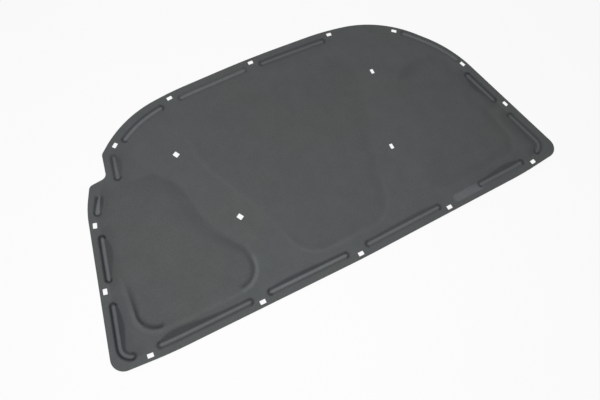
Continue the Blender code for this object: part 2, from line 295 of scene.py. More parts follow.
@dataclass(frozen=True)
class PressedFelt:
    """Needle-punched polyester felt, dyed dark grey and hot pressed.

    It is dull and a little lighter where it is pressed hard. The groove floors carry a painted sheen,
    and the steep walls and slopes carry a painted shade.

    Attributes:
        loose: colour of the soft face of the thick fields.
        pressed: colour where the mould has closed on the sheet, as on the rim and the braces.
        hard: colour on the floor of the grooves, where the fibres lie flat: the lighter tone of
            hard-pressed felt with a painted sheen.
        drawn: colour of the painted shade on the steep walls of the grooves and on the fields' slopes.
        fibre: spacing of the fibre clumps. Real clumps are about 1 mm apart. These are drawn coarser, so
            that they show in the render.
        cloud: size of the soft patches where the web is denser.
        dye: size of the wide patches where the dye is a little bluer.
        bluer: what the dye's patches multiply red, green and blue by at their strongest.
    """

    loose: str = "#515453"
    pressed: str = "#535655"
    hard: str = "#666969"
    drawn: str = "#25262B"
    fibre: float = 0.0024
    cloud: float = 0.045
    dye: float = 0.30
    bluer: Triple = (1.00, 0.985, 1.05)

    def build(self) -> bpy.types.Material:
        """Builds the material.

        Returns:
            The material. Its colour goes from loose to pressed to the hard-pressed colour, which carries a
            painted sheen, with the mesh's pressing, and then towards the dark painted shade with the mesh's
            painted shade attribute. That tone is multiplied by the fibre clumps, by the clouds of the web and
            by the dye's patches. The fibres also raise the surface.
        """
        surface = {"Roughness": 0.95, "Metallic": 0.0, "IOR": 1.45, "Specular IOR Level": 0.25}
        sheen = {"Sheen Weight": 0.06, "Sheen Roughness": 0.6}
        material, shader = new_material("needle_punched_felt", {**surface, **sheen})
        tree = material.node_tree
        place = add_node(tree, "ShaderNodeTexCoord", {}, {}).outputs["Object"]
        pressing, walls = (
            add_node(tree, "ShaderNodeAttribute", {"attribute_name": name}, {}).outputs["Fac"]
            for name in ("pressing", "drawn")
        )
        ramp = add_node(tree, "ShaderNodeValToRGB", {}, {"Fac": pressing})
        ramp.color_ramp.elements[0].color = linear(self.loose)
        # The top of the ramp: the lighter hard-pressed felt with a painted sheen, on the groove floors.
        ramp.color_ramp.elements[1].color = linear(self.hard)
        ramp.color_ramp.elements.new(0.5).color = linear(self.pressed)
        # Painted shade: the dark colour mixed in by the mesh's painted shade attribute, on steep walls and
        # slopes.
        blend = {"data_type": "RGBA", (7,): linear(self.drawn)}
        tone = add_node(tree, "ShaderNodeMix", blend, {0: walls, 6: ramp.outputs["Color"]})
        fibres, clouds, patches = (
            add_node(
                tree,
                "ShaderNodeTexNoise",
                {("Scale",): 1.0 / size, ("Detail",): detail, ("Roughness",): rough, ("Distortion",): bend},
                {"Vector": place},
            ).outputs["Fac"]
            for size, detail, rough, bend in (
                (self.fibre, 3.0, 0.65, 0.8),
                (self.cloud, 3.0, 0.6, 0.0),
                (self.dye, 2.0, 0.5, 0.0),
            )
        )
        fine, broad = (
            add_node(
                tree,
                "ShaderNodeMapRange",
                {("From Min",): low, ("From Max",): high, ("To Min",): 1.0 - swing, ("To Max",): 1.0 + swing},
                {"Value": noise},
            ).outputs["Result"]
            for noise, low, high, swing in ((fibres, 0.25, 0.75, 0.20), (clouds, 0.3, 0.7, 0.04))
        )
        factor = add_node(tree, "ShaderNodeMath", {"operation": "MULTIPLY"}, {0: fine, 1: broad})
        scaled = {0: tone.outputs[2], "Scale": factor.outputs["Value"]}
        mottled = add_node(tree, "ShaderNodeVectorMath", {"operation": "SCALE"}, scaled)
        hue = add_node(tree, "ShaderNodeValToRGB", {}, {"Fac": patches})
        stops = ((0.40, (1.0, 1.0, 1.0)), (0.60, self.bluer))
        for stop, (position, colour) in zip(hue.color_ramp.elements, stops):
            stop.position = position
            stop.color = (*colour, 1.0)
        tinted = {0: mottled.outputs["Vector"], 1: hue.outputs["Color"]}
        dyed = add_node(tree, "ShaderNodeVectorMath", {"operation": "MULTIPLY"}, tinted)
        raised = {("Strength",): 0.6, ("Distance",): 0.0006}
        bump = add_node(tree, "ShaderNodeBump", raised, {"Height": fibres})
        tree.links.new(dyed.outputs["Vector"], shader.inputs["Base Color"])
        tree.links.new(bump.outputs["Normal"], shader.inputs["Normal"])
        return material


@dataclass(frozen=True)
class TablePaper:
    """Matt white background paper under the pad, lit from behind so that shadows stay faint.

    Attributes:
        colour: colour of the paper.
        glow: share of the paper's brightness that comes through it, as the camera sees it.
    """

    colour: str = "#FCFCFC"
    glow: float = 0.90

    def build(self) -> bpy.types.Material:
        """Builds the material.

        Returns:
            The material. To the camera it is a mix of the glow and of the matt paper, and it lights the pad
            as matt paper alone.
        """
        surface = {"Base Color": linear(self.colour), "Roughness": 1.0, "Specular IOR Level": 0.0}
        material, shader = new_material("white_background_paper", surface)
        tree = material.node_tree
        glow = add_node(tree, "ShaderNodeEmission", {("Color",): linear(self.colour), ("Strength",): 1.0}, {})
        product = {"operation": "MULTIPLY", (1,): self.glow}
        share = add_node(tree, "ShaderNodeMath", product, {0: seen_by_eye(tree)})
        layers = {0: share.outputs["Value"], 1: shader.outputs["BSDF"], 2: glow.outputs["Emission"]}
        mix = add_node(tree, "ShaderNodeMixShader", {}, layers)
        tree.links.new(mix.outputs["Shader"], tree.nodes["Material Output"].inputs["Surface"])
        return material


@dataclass
class Outline:
    """The pad's outline in plan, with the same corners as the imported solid.

    Attributes:
        width: size across the car.
        depth: size from the rear edge to the front edge.
        rear_centre: the corner at the middle of the rear edge. Each corner is a share of half the width, a
            share of half the depth, and the share of the shorter of its two sides that its round takes.
        front_centre: the corner at the middle of the front edge.
        right_half: the corners from the rear centre to the front centre.
        left_half: the corners from the front centre to the rear centre, with the notch.
        lip_index: which corner of the notched outline is the notch's lip. The next one is its pit.
        rim_radius: the smallest radius that a line along the rim may have.
        part_points: how many points a part of such a line has.
    """

    width: float = 1.300
    depth: float = 0.652
    rear_centre: Triple = (0.000, -1.000, 0.0805)
    front_centre: Triple = (0.000, 1.000, 0.3859)
    right_half: tuple[Triple, ...] = (
        (0.797, -0.978, 0.2818),
        (1.0115, -0.940, 0.2672),
        (0.8616, 0.334, 0.3464),
        (0.638, 0.8805, 0.6506),
        (0.364, 0.978, 0.3238),
    )
    left_half: tuple[Triple, ...] = (
        (0.364, 0.978, 0.2586),
        (0.592, 0.920, 0.7994),
        (0.729, 0.681, 0.0750),
        (0.750, 0.482, 0.2478),
        (0.822, 0.467, 0.1640),
        (0.868, 0.282, 0.4432),
        (1.0115, -0.940, 0.2672),
        (0.797, -0.978, 0.2818),
    )
    lip_index: int = 9
    rim_radius: float = 0.026
    part_points: int = 40

    def border(self, notched: bool) -> Border:
        """Gives the outline's border, scaled to the exact width and depth.

        Args:
            notched: whether the left side has its notch.

        Returns:
            The border. Its loop is measured, and its corners are moved and scaled so that the loop fits the
            size.
        """
        left = self.left_half if notched else tuple(reversed(self.right_half))
        table = np.array([self.rear_centre, *self.right_half, self.front_centre, *left])
        sides = [Side.RIGHT.value] * (2 + len(self.right_half)) + [Side.LEFT.value] * len(left)
        half = np.array([self.width, self.depth]) / 2.0
        places = table[:, :2] * half * np.column_stack([sides, np.ones(len(sides))])
        loop = Border.fitted(places, table[:, 2]).loop()
        low, high = loop.min(axis=0), loop.max(axis=0)
        scale = 2.0 * half / (high - low)
        return Border.fitted((places - (low + high) / 2.0) * scale, table[:, 2])

    def rim_line(self, distance: float, side: Side = Side.RIGHT) -> np.ndarray:
        """Gives the line parallel to the even outline on one side.

        Args:
            distance: how far inside the edge the line runs.
            side: the side of the car. The left line is the mirror image of the right one.

        Returns:
            The line's points, in order from the rear centre to the front centre.
        """
        loop = self.border(notched=False).inset(distance, self.rim_radius).loop()
        half = loop[loop[:, 0] > ON_LINE]
        half = half[np.argsort(np.arctan2(half[:, 1], half[:, 0]))]
        line = np.vstack([[0.0, half[0, 1]], half, [0.0, half[-1, 1]]])
        return line * side.flip()

    def part_of_rim(self, distance: float, first: float, last: float, side: Side) -> np.ndarray:
        """Gives the part of a rim line between two shares of its length, with the pad's middle to its left.

        Args:
            distance: how far inside the edge the line runs.
            first: share of the half perimeter where the part begins.
            last: share where it ends.
            side: the side of the car.

        Returns:
            The part's points, evenly spaced.
        """
        line = self.rim_line(distance, side)
        marks = np.linspace(first, last, self.part_points) * lengths_along(line)[-1]
        part = points_at(line, marks)
        return part if side is Side.RIGHT else part[::-1]


@dataclass(frozen=True)
class Run:
    """Where one groove runs along the rim, and how it is pressed.

    Attributes:
        side: the side of the car.
        first: share of the half perimeter, from the rear centre to the front centre, where it begins.
        last: share where it ends.
        inset: distance of its centre line from the edge.
        ease: how far its inner wall spreads.
        outer: how much painted shade the wall on the edge's side gets, where one is the most.
        inner: how much painted shade the wall on the middle's side gets.
        shine: how far the fibres are ironed flat along its floor and given a painted sheen.
        soft: how much painted shade the felt past the inner wall gets, which fades out slowly.
        skew: above one, the inner wall is widest past the middle of the run, and below one before it.
        wedge: how much wider the ironed strip of the floor, with its painted sheen, gets towards the end of
            its path, and narrower towards the start.
    """

    side: Side
    first: float
    last: float
    inset: float
    ease: Ease
    outer: float
    inner: float
    shine: float
    soft: float
    skew: float = 1.6
    wedge: float = 0.0


@dataclass
class Groove:
    """A groove pressed into the upper face.

    Attributes:
        path: its centre line, with the pad's middle to its left.
        run: how it is pressed.
        floor_half: half the width of the flat floor.
        mouth_half: half the width at the top.
        climb: power of the wall's curve, which is steep at its foot and eases out at the top.
        shine_half: half the width of the strip where the fibres are ironed flat and given a painted sheen.
        crease: width over which that strip gives way to the wall.
        band: distance from the centre line where the painted shade of the wall begins to fade.
        hold: share of the inner wall's spread that the painted shade holds on for before it fades.
        soft_reach: distance over which the soft painted shade past the inner wall fades out.
        end_extra: how much more painted shade the wall round the groove's ends gets than its sides.
        nearby: how far round the path the groove is worked out, which is past all that it changes.
        rib_spread: share of the inner wall's spread that widens the rib's side.
    """

    path: np.ndarray
    run: Run
    floor_half: float = 0.0020
    mouth_half: float = 0.0135
    climb: float = 1.8
    shine_half: float = 0.0021
    crease: float = 0.0036
    band: float = 0.0075
    hold: float = 0.65
    soft_reach: float = 0.044
    end_extra: float = 0.25
    nearby: float = 0.06
    rib_spread: float = 0.8

    def spread(self, share: np.ndarray) -> np.ndarray:
        """Gives how far the inner wall spreads: the sine of pi times the way's share to the skew's power."""
        counted = 1.0 - share if self.run.side is Side.LEFT else share
        return self.run.ease.value * np.sin(math.pi * counted**self.run.skew)

    def relief(self, points: np.ndarray) -> Maps:
        """Gives what the groove does to the sheet at each point.

        Args:
            points: places in plan, one row each.

        Returns:
            The depth, one on the floor and down to nothing at the mouth by a power of the way left. How far
            the fibres are ironed flat and given a painted sheen: the shine along the centre line, on a strip
            that the wedge widens evenly. How much painted shade the wall gets, which rises beside that strip
            and fades towards the mouth, or more softly past it on the inner side. It is most at the ends, but
            for the narrow end of a wedge.
        """
        low, high = self.path.min(axis=0) - self.nearby, self.path.max(axis=0) + self.nearby
        near = np.all((points > low) & (points < high), axis=1)
        depth, ironed_and_sheen, drawn = (np.zeros(len(points)) for _ in range(3))
        signed, share, distance = nearest(points[near], self.path)
        inwards = signed > 0.0
        spread = np.where(inwards, self.spread(share), 0.0)
        mouth = self.mouth_half + spread
        left = np.clip((mouth - distance) / (mouth - self.floor_half), 0.0, 1.0)
        depth[near] = left**self.climb
        # Painted sheen with the hard-pressed tone: a strip along the floor that the colour ramp lightens.
        shine_half = self.shine_half * (1.0 + self.run.wedge * (2.0 * share - 1.0))
        beside = smooth((distance - shine_half) / self.crease)
        ironed_and_sheen[near] = self.run.shine * (1.0 - beside)
        # Painted shade on the wall: dark beside the ironed strip, fading towards the mouth, and softly
        # further in past the inner wall.
        most = np.where(inwards, self.run.inner, self.run.outer)
        end = min(1.0, self.end_extra + max(self.run.inner, self.run.outer))
        point = end * max(0.0, 1.0 - self.run.wedge)
        most = np.where(share <= 0.0, point, np.where(share >= 1.0, end, most))
        start = self.band + self.hold * spread
        wall = most * (1.0 - smooth((distance - start) / (mouth - start)))
        fading = 1.0 - smooth((distance - self.band) / self.soft_reach)
        drawn[near] = beside * np.maximum(wall, np.where(inwards, self.run.soft, 0.0) * fading)
        return depth, ironed_and_sheen, drawn

    def rib(self, points: np.ndarray, foot: float, flank: float) -> np.ndarray:
        """Gives how far down the rib under the groove reaches at each point.

        Args:
            points: places in plan, one row each.
            foot: half the width of the rib's flat foot.
            flank: run of its sides, which the inner wall's spread adds to.

        Returns:
            The share of the way to the table: one on the foot, easing to nothing up the sides.
        """
        signed, share, distance = nearest(points, self.path)
        run = flank + np.where(signed > 0.0, self.rib_spread * self.spread(share), 0.0)
        return 1.0 - smooth((distance - foot) / run)


@dataclass
class RimGrooves:
    """All the grooves along the rim.

    Attributes:
        outline: the pad's outline.
        runs: the grooves that follow the even outline.
        notch: start, middle and end of the groove beside the notch, as shares from the notch's lip to its
            pit.
        notch_run: how that groove is pressed.
        patch: the wide ironed patch with a painted sheen before the right rear groove: first and last share
            along the rim.
        patch_inset: distance of its centre line from the edge.
        patch_half: half its width.
        patch_border: width over which it eases out.
        patch_depth: its depth as a share of a groove's.
        patch_ironed_and_sheen: how far its fibres are ironed flat and given a painted sheen.
        rib_foot: half the width of the ribs' flat foot, under the grooves.
        rib_flank: run of the ribs' sides.
    """

    outline: Outline
    runs: tuple[Run, ...] = (
        Run(Side.RIGHT, 0.0190, 0.1540, 0.0268, Ease.NARROW, 0.18, 0.45, 0.70, 0.04),
        Run(Side.LEFT, 0.0235, 0.1540, 0.0265, Ease.NARROW, 0.25, 0.58, 1.00, 0.00),
        Run(Side.RIGHT, 0.2460, 0.3320, 0.0290, Ease.SOFT, 0.12, 0.50, 0.55, 0.14),
        Run(Side.LEFT, 0.1900, 0.3320, 0.0265, Ease.WIDE, 0.42, 0.58, 0.60, 0.06, 3.0),
        Run(Side.RIGHT, 0.3740, 0.4600, 0.0315, Ease.WIDE, 0.50, 0.36, 0.35, 0.28, 0.6),
        Run(Side.LEFT, 0.3740, 0.4600, 0.0258, Ease.SOFT, 0.97, 0.68, 0.45, 0.20),
        Run(Side.RIGHT, 0.5020, 0.5670, 0.0305, Ease.WIDE, 0.62, 0.48, 0.45, 0.26),
        Run(Side.LEFT, 0.5020, 0.5670, 0.0255, Ease.WIDE, 0.90, 0.50, 0.70, 0.22),
        Run(Side.RIGHT, 0.8620, 0.9820, 0.0285, Ease.NARROW, 0.42, 0.24, 0.50, 0.08),
        Run(Side.LEFT, 0.8620, 0.9820, 0.0278, Ease.NARROW, 0.15, 0.10, 0.90, 0.04),
        Run(Side.LEFT, 0.6110, 0.6380, 0.0205, Ease.NARROW, 0.70, 0.55, 1.00, 0.16, 1.6, 1.1),
        Run(Side.LEFT, 0.7420, 0.8230, 0.0262, Ease.NARROW, 0.45, 0.06, 1.00, 0.02),
        Run(Side.RIGHT, 0.6050, 0.7110, 0.0132, Ease.NARROW, 0.14, 0.05, 1.00, 0.00),
    )
    notch: Triple = (0.08, 0.45, 0.82)
    notch_run: Run = Run(Side.RIGHT, 0.0, 1.0, 0.0275, Ease.SOFT, 0.60, 0.36, 0.55, 0.12, 0.6, 0.5)
    patch: tuple[float, float] = (0.1930, 0.2400)
    patch_inset: float = 0.0260
    patch_half: float = 0.0085
    patch_border: float = 0.005
    patch_depth: float = 0.45
    patch_ironed_and_sheen: float = 0.75
    rib_foot: float = 0.0045
    rib_flank: float = 0.0060

    def grooves(self) -> list[Groove]:
        """Lists every groove with its centre line."""
        found = []
        for run in self.runs:
            path = self.outline.part_of_rim(run.inset, run.first, run.last, run.side)
            found.append(Groove(path, run))
        wall = self.outline.border(notched=True).inset(self.notch_run.inset).places
        lip, pit = wall[self.outline.lip_index], wall[self.outline.lip_index + 1]
        path = lip + np.array(self.notch)[:, None] * (pit - lip)
        found.append(Groove(path, self.notch_run))
        return found

    def relief(self, points: np.ndarray) -> Maps:
        """Gives the depth, the ironing with its painted sheen, and the painted shade of all the grooves
        and of the patch at each point.

        Args:
            points: places in plan, one row each.

        Returns:
            The largest value of each at every point. The patch is flat, and its border eases out.
        """
        found = [groove.relief(points) for groove in self.grooves()]
        depth, ironed_and_sheen, drawn = (np.max(values, axis=0) for values in zip(*found))
        line = self.outline.part_of_rim(self.patch_inset, *self.patch, Side.RIGHT)
        flat = 1.0 - smooth((nearest(points, line)[2] - self.patch_half) / self.patch_border)
        return np.maximum(depth, self.patch_depth * flat), np.maximum(ironed_and_sheen, self.patch_ironed_and_sheen * flat), drawn

    def ribs(self, points: np.ndarray) -> np.ndarray:
        """Gives how far down the ribs under the grooves reach at each point, as a share."""
        found = [groove.rib(points, self.rib_foot, self.rib_flank) for groove in self.grooves()]
        return np.max(found, axis=0)


@dataclass
class ThickField:
    """One of the thick fields between the braces.

    Attributes:
        corners: share of half the width, share of half the depth, radius, run of the slope at that corner,
            how much painted shade the slope gets there, and how much painted highlight, given as harder
            pressing, the lip outside it gets.
        size: the pad's width and depth.
        lip_reach: how far outside the border the lip's middle lies, and half its width.
        step: share of the slope's curve that lies outside the border, which is its slow start.
        sole_step: the same for the lower face.
        peak: share of the slope where its painted shade is strongest.
    """

    corners: tuple[FieldCorner, ...]
    size: tuple[float, float]
    lip_reach: tuple[float, float] = (0.005, 0.008)
    step: float = 0.08
    sole_step: float = 0.1
    peak: float = 0.2

    def border(self) -> np.ndarray:
        """Gives the closed line of the field's border, which ends with its first point."""
        table = np.array(self.corners)
        loop = Border(table[:, :2] * np.array(self.size) / 2.0, table[:, 2]).loop()
        return np.vstack([loop, loop[:1]])

    def relief(self, points: np.ndarray) -> Maps:
        """Gives what the field does to the sheet at each point.

        Args:
            points: places in plan, one row each.

        Returns:
            The rise, easing from nothing just outside the border to one across the slope, whose run goes
            from corner to corner. How much painted shade the slope gets, most at its peak. How much painted
            highlight, given as harder pressing, the lip outside gets.
        """
        border = self.border()
        lengths = lengths_along(border)
        inside, share, _ = nearest(points, border)
        rows = np.array(self.corners)[:, 3:]
        run, draw, lip = (
            np.interp(share * lengths[-1], lengths, np.append(values, values[0]))
            for values in np.repeat(rows, (len(border) - 1) // len(rows), axis=0).T
        )
        way = inside / run
        # Painted shade on the field's slope, strongest at its peak.
        drawn = draw * smooth(way / self.peak) * (1.0 - smooth((way - self.peak) / (1.0 - self.peak)))
        # Painted highlight: a lighter band of harder pressing just outside the border.
        middle, half = self.lip_reach
        pressed = lip * (1.0 - smooth(np.abs(inside + middle) / half))
        return smooth(self.step + (1.0 - self.step) * way), drawn, pressed

    def sole(self, points: np.ndarray, run: float) -> np.ndarray:
        """Gives how far down the field's lower face reaches at each point.

        Args:
            points: places in plan, one row each.
            run: run of the lower slope.

        Returns:
            The share of the way to the table, easing from nothing just outside the border to one across the
            lower slope.
        """
        inside = nearest(points, self.border())[0]
        return smooth(self.sole_step + (1.0 - self.sole_step) * inside / run)


@dataclass
class ClipHoles:
    """The punched holes that take the clips.

    Attributes:
        outline: the pad's outline.
        long: size along the edge.
        short: size across the edge.
        inset: distance of the rim's holes from the edge.
        pairs: where the rim's pairs of holes lie, as shares of the half perimeter.
        aim: share of the half perimeter to either side of a hole that gives its direction.
        inner: places of the holes on the braces, as shares of half the width and half the depth.
        inner_left: turn of the left holes on the braces in degrees, and their short size.
        inner_right: the same of the right ones.
        corner_radius: radius of the punch's corners.
        corner_points: how many points each of those corners has.
    """

    outline: Outline
    long: float = 0.0150
    short: float = 0.0105
    inset: float = 0.0130
    pairs: tuple[float, ...] = (0.1670, 0.3405, 0.4890, 0.5917, 0.7284, 0.8488)
    aim: float = 0.002
    inner: tuple[tuple[float, float], ...] = ((0.466, 0.432), (0.353, -0.271))
    inner_left: tuple[float, float] = (62.0, 0.0130)
    inner_right: tuple[float, float] = (88.0, 0.0098)
    corner_radius: float = 0.0012
    corner_points: int = 5

    def places(self) -> list[tuple[np.ndarray, np.ndarray, float]]:
        """Lists every hole as its place, the direction of its long side and its short size."""
        line = self.outline.rim_line(self.inset)
        total = lengths_along(line)[-1]
        ahead = np.array([1.0, 0.0])
        found = [(line[0], ahead, self.short), (line[-1], ahead, self.short)]
        for share in self.pairs:
            ends = points_at(line, np.array([share - self.aim, share + self.aim]) * total)
            direction = (ends[1] - ends[0]) / np.linalg.norm(ends[1] - ends[0])
            for side in Side:
                found.append((ends.mean(axis=0) * side.flip(), direction * side.flip(), self.short))
        half = np.array([self.outline.width, self.outline.depth]) / 2.0
        for shares in self.inner:
            for side, (turn, short) in zip((Side.LEFT, Side.RIGHT), (self.inner_left, self.inner_right)):
                angle = math.radians(turn)
                direction = np.array([math.cos(angle), math.sin(angle)])
                found.append((np.array(shares) * half * side.flip(), direction * side.flip(), short))
        return found

    def punch(self, low: float, high: float) -> bpy.types.Object:
        """Makes one mesh of all the punches: upright prisms with rounded corners.

        Args:
            low: height of their lower ends.
            high: height of their upper ends.

        Returns:
            The object, which only cuts and isn't shown.
        """
        rings = []
        for place, direction, short in self.places():
            along = direction * self.long / 2.0
            across = np.array([-direction[1], direction[0]]) * short / 2.0
            corners = np.array([-along - across, along - across, along + across, across - along])
            border = Border(place + corners, np.full(4, self.corner_radius))
            rings.append(border.loop(self.corner_points))
        count = len(rings[0])
        plan = np.concatenate(rings)
        points = np.vstack([np.column_stack([plan, np.full(len(plan), height)]) for height in (low, high)])
        step = np.arange(count)
        onward = (step + 1) % count
        faces = []
        for base in range(0, len(plan), count):
            top = len(plan) + base
            walls = np.column_stack([base + step, base + onward, top + onward, top + step])
            faces += [*walls.tolist(), (base + step[::-1]).tolist(), (top + step).tolist()]
        return new_object("clip_hole_punches", new_mesh("clip_hole_punches", points, faces))


@dataclass
class InsulationPad:
    """The whole pad as one closed grid.

    Attributes:
        outline: the pad's outline.
        rim_underside: height of the sheet's underside along the rim and the braces.
        rim_top: height of the sheet's upper face there.
        field_top: height of the thick fields.
        groove_floor: height of the grooves' floor.
        sole_run: run of the slope under a thick field.
        rim_tone: how hard the rim and the braces are pressed, where one is the most.
        lip_highlight: how much painted highlight, given as harder pressing, the lip round a thick field may
            get.
        around: number of points around each ring.
        level: the Y of the spine, the line in the middle where the rings end.
        spine_half: half the length of the spine.
        under_insets: distances of the underside's outer rings from the edge.
        over_insets: distances of the upper face's outer rings from the edge, close enough for the grooves.
        under_inner: how many rings the underside has between its outer ones and the spine.
        over_inner: how many the upper face has there.
        edge_rows: how many rings the cut edge has between its two ends.
        edge_drops: how far the rings next to the cut edge lie lower, which rounds it off.
        exact: distance from the edge up to which the rings aren't softened.
        soften: how much they are softened further in.
        punch_margin: how far the punches reach past the sheet.
        sharp: angle between two faces, in degrees, past which their edge looks sharp.
        left_corners: corners of the left thick field, as ThickField lists them.
        right_corners: corners of the right one.
        middle_corners: corners of the middle one, all the way round.
    """

    outline: Outline = field(default_factory=Outline)
    rim_underside: float = 0.0030
    rim_top: float = 0.0050
    field_top: float = 0.0090
    groove_floor: float = 0.0015
    sole_run: float = 0.0096
    rim_tone: float = 0.5
    lip_highlight: float = 0.35
    around: int = 800
    level: float = -0.030
    spine_half: float = 0.400
    under_insets: tuple[float, ...] = (
        *(0.0, 0.0006, 0.004, 0.009),
        *np.arange(0.013, 0.0441, 0.0024),
        *(0.049, 0.055),
    )
    over_insets: tuple[float, ...] = (
        *(0.0, 0.0003, 0.0009, 0.0018, 0.0032, 0.0050),
        *np.arange(0.0070, 0.0131, 0.0020),
        *np.arange(0.0145, 0.0456, 0.0015),
        *np.arange(0.0480, 0.0901, 0.0025),
    )
    under_inner: int = 13
    over_inner: int = 32
    edge_rows: int = 4
    edge_drops: Triple = (0.00035, 0.00012, 0.00002)
    exact: float = 0.004
    soften: float = 0.5
    punch_margin: float = 0.004
    sharp: float = 50.0
    left_corners: tuple[FieldCorner, ...] = (
        (-0.388, -0.530, 0.040, 0.020, 0.34, 0.10),
        (-0.472, -0.230, 0.090, 0.050, 0.14, 0.00),
        (-0.498, 0.180, 0.120, 0.060, 0.15, 0.00),
        (-0.575, 0.385, 0.050, 0.060, 0.15, 0.00),
        (-0.800, 0.375, 0.060, 0.040, 0.00, 0.00),
        (-0.850, -0.300, 0.200, 0.025, 0.00, 0.10),
        (-0.868, -0.776, 0.050, 0.016, 0.85, 0.45),
        (-0.760, -0.795, 0.300, 0.025, 0.08, 0.15),
        (-0.500, -0.800, 0.300, 0.025, 0.00, 0.30),
        (-0.385, -0.784, 0.055, 0.016, 0.45, 1.00),
    )
    right_corners: tuple[FieldCorner, ...] = (
        (0.385, -0.810, 0.055, 0.040, 0.04, 0.00),
        (0.855, -0.780, 0.050, 0.040, 0.12, 0.10),
        (0.800, 0.375, 0.060, 0.045, 0.06, 0.00),
        (0.575, 0.375, 0.050, 0.075, 0.18, 0.00),
        (0.512, 0.180, 0.120, 0.045, 0.05, 0.00),
        (0.485, -0.230, 0.090, 0.045, 0.00, 0.00),
        (0.392, -0.530, 0.040, 0.040, 0.00, 0.00),
    )
    middle_corners: tuple[FieldCorner, ...] = (
        (0.190, -0.800, 0.080, 0.035, 0.05, 0.15),
        (0.250, -0.370, 0.250, 0.035, 0.05, 0.05),
        (0.388, 0.276, 0.250, 0.055, 0.00, 0.00),
        (0.400, 0.760, 0.050, 0.060, 0.00, 0.00),
        (-0.400, 0.760, 0.050, 0.060, 0.00, 0.00),
        (-0.388, 0.276, 0.250, 0.040, 0.06, 0.15),
        (-0.250, -0.370, 0.250, 0.040, 0.04, 0.10),
        (-0.190, -0.800, 0.080, 0.025, 0.10, 0.28),
    )

    def fields(self) -> list[ThickField]:
        """Lists the three thick fields: one on each side, and the one in the middle."""
        size = (self.outline.width, self.outline.depth)
        borders = (self.right_corners, self.left_corners, self.middle_corners)
        return [ThickField(corners, size) for corners in borders]

    def evenly(self, loop: np.ndarray) -> np.ndarray:
        """Spaces a closed line's points evenly over its front half and evenly over its rear half.

        Args:
            loop: the closed line, counter-clockwise.

        Returns:
            As many points as a ring has. The first is where the line crosses the spine's level on the
            right, and the one at half the count is where it crosses it on the left.
        """
        closed = np.vstack([loop, loop[:1]])
        lengths = lengths_along(closed)
        above = closed[:, 1] - self.level
        crossing = np.nonzero((above[:-1] < 0.0) != (above[1:] < 0.0))[0]
        share = above[crossing] / (above[crossing] - above[crossing + 1])
        marks = lengths[crossing] + share * (lengths[crossing + 1] - lengths[crossing])
        side = closed[crossing, 0]
        right, left = marks[np.argmax(side)], marks[np.argmin(side)]
        steps = np.arange(self.around // 2) / (self.around // 2)
        front = right + ((left - right) % lengths[-1]) * steps
        rear = left + ((right - left) % lengths[-1]) * steps
        return points_at(closed, np.concatenate([front, rear]) % lengths[-1])

    def inward(self, ring: np.ndarray, step: float, soften: float) -> np.ndarray:
        """Moves a ring inwards and spaces it evenly again.

        Args:
            ring: the ring's points, counter-clockwise.
            step: how far it moves along its normals.
            soften: share of the mean of its two neighbours that each point takes.

        Returns:
            The new ring. The normal at a point is the chord between its neighbours, turned a quarter to the
            left.
        """
        chord = unit(np.roll(ring, -1, axis=0) - np.roll(ring, 1, axis=0))
        moved = ring + step * np.column_stack([-chord[:, 1], chord[:, 0]])
        mean = (np.roll(moved, -1, axis=0) + np.roll(moved, 1, axis=0)) / 2.0
        return self.evenly(moved * (1.0 - soften) + mean * soften)

    def rings(self, insets: tuple[float, ...], inner_count: int) -> tuple[np.ndarray, np.ndarray]:
        """Gives the rings of one face in plan, from the edge to the spine.

        Args:
            insets: the distances of the outer rings from the edge, in rising order.
            inner_count: how many rings there are between those and the spine.

        Returns:
            The rings, one block each, and the spine's points from right to left. The inner rings go straight
            from the last outer one to the spine, in even shares of the way.
        """
        ring = self.evenly(self.outline.border(notched=True).loop())
        found = [ring]
        for before, after in zip(insets[:-1], insets[1:]):
            ring = self.inward(ring, after - before, 0.0 if after < self.exact else self.soften)
            found.append(ring)
        half = self.around // 2
        marks = np.linspace(self.spine_half, -self.spine_half, half + 1)
        spine = np.column_stack([marks, np.full(half + 1, self.level)])
        ends = np.vstack([spine[:-1], spine[:0:-1]])
        for share in np.arange(1, inner_count + 1) / (inner_count + 1):
            found.append(ring + (ends - ring) * share)
        return np.array(found), spine

    def relief(self, points: np.ndarray) -> Maps:
        """Gives the height of the upper face, how hard the felt is pressed and how much painted shade it
        gets.

        Args:
            points: places in plan, one row each.

        Returns:
            The height: the rim's level, plus the fields' rise, less the grooves' depth. The pressing: a half
            on the rim and braces, nothing on the fields, more on the lips with their painted highlight, and
            up to one on the grooves' floor with its painted sheen. The painted shade: the larger of the
            fields' and the grooves', up to one on the steepest walls.
        """
        rise, drawn, lip = (np.zeros(len(points)) for _ in range(3))
        for thick in self.fields():
            up, wall, pressed = thick.relief(points)
            rise, drawn, lip = np.maximum(rise, up), np.maximum(drawn, wall), np.maximum(lip, pressed)
        depth, ironed_and_sheen, walls = RimGrooves(self.outline).relief(points)
        high = self.rim_top + rise * (self.field_top - self.rim_top)
        height = high + (self.groove_floor - high) * depth
        # The lips' painted highlight and the groove floors' painted sheen both raise the pressing, and so
        # lighten the colour.
        pressing = self.rim_tone * (1.0 - rise) + self.lip_highlight * lip
        pressing = pressing + (1.0 - pressing) * ironed_and_sheen
        return height, pressing, np.maximum(drawn, walls)

    def low_height(self, points: np.ndarray) -> np.ndarray:
        """Gives the height of the underside.

        Args:
            points: places in plan, one row each.

        Returns:
            The rim's underside, brought down to the table by the soles of the fields and by the ribs.
        """
        down = RimGrooves(self.outline).ribs(points)
        for thick in self.fields():
            down = np.maximum(down, thick.sole(points, self.sole_run))
        return self.rim_underside * (1.0 - down)

